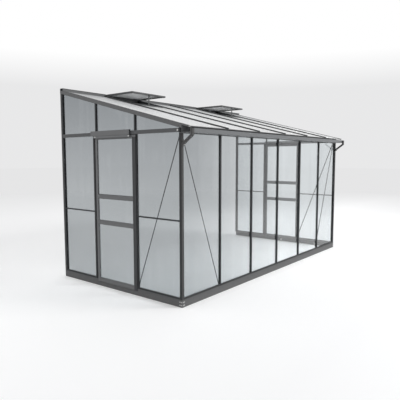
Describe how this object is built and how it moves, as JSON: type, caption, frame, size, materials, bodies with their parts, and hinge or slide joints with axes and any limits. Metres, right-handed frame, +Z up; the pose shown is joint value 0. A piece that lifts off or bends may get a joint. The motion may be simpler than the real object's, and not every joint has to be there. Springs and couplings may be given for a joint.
{
  "type": "lean-to greenhouse",
  "caption": "Lean-to greenhouse on a low base: aluminium frame, glass walls, hinged end doors, opal sheet roof with open vents and an eaves gutter.",
  "frame": {"origin": "on the ground, under the middle of the whole outline", "axes": "+X along the house wall from the near end to the far end, +Y from the front wall towards the house wall, +Z up"},
  "size_m": [3.8152, 2.0284, 2.262],
  "materials": {
    "anthracite": "satin",
    "base_grey": "satin",
    "black": "satin",
    "black_trim": "matt",
    "clear_glass": "clear",
    "opal_sheet": "opal, ribbed"
  },
  "bodies": {
    "greenhouse": {"eaves_gutter": "anthracite", "ridge_bar": "anthracite", "corner_post_near": "anthracite", "door_post_near_front": "anthracite", "door_post_near_wall": "anthracite", "eaves_rail_near": "anthracite", "door_header_near": "anthracite", "gutter_bracket_near": "anthracite", "roof_end_bar_near": "anthracite", "brace_near_end": "anthracite", "brace_near_front": "anthracite", "corner_post_far": "anthracite", "door_post_far_front": "anthracite", "door_post_far_wall": "anthracite", "eaves_rail_far": "anthracite", "door_header_far": "anthracite", "gutter_bracket_far": "anthracite", "roof_end_bar_far": "anthracite", "brace_far_end": "anthracite", "brace_far_front": "anthracite", "front_bar_1": "anthracite", "front_bar_2": "anthracite", "front_bar_3": "anthracite", "front_bar_4": "anthracite", "front_bar_5": "anthracite", "vent_frame_1": "anthracite", "vent_frame_2": "anthracite", "vent_sill_1": "anthracite", "vent_sill_2": "anthracite", "base_rail_front": "base_grey", "base_rail_near": "base_grey", "base_rail_far": "base_grey", "roof_bar_1": "black", "roof_bar_2": "black", "roof_bar_3": "black", "roof_bar_4": "black", "roof_bar_5": "black", "wall_post_near": "black", "wall_post_far": "black", "front_trim": "black_trim", "end_trim_near": "black_trim", "end_trim_far": "black_trim", "front_glass": "clear_glass", "end_glass_near": "clear_glass", "end_glass_far": "clear_glass", "roof_panel_1": "opal_sheet", "roof_panel_2": "opal_sheet", "roof_panel_3": "opal_sheet", "roof_panel_4": "opal_sheet", "roof_panel_5": "opal_sheet", "roof_panel_6": "opal_sheet", "vent_pane_1": "opal_sheet", "vent_pane_2": "opal_sheet"},
    "door_near": {"door_frame_near": "anthracite", "door_glass_near": "clear_glass"},
    "door_far": {"door_frame_far": "anthracite", "door_glass_far": "clear_glass"}
  },
  "joints": [
    {"name": "door_hinge_near", "type": "hinge", "parent": "greenhouse", "child": "door_near", "pos_m": [-1.879, 0.39515, 0.88], "axis": [0, 0, -1], "range_deg": [0, 100]},
    {"name": "door_hinge_far", "type": "hinge", "parent": "greenhouse", "child": "door_far", "pos_m": [1.879, 0.39515, 0.88], "axis": [0, 0, 1], "range_deg": [0, 100]}
  ]
}
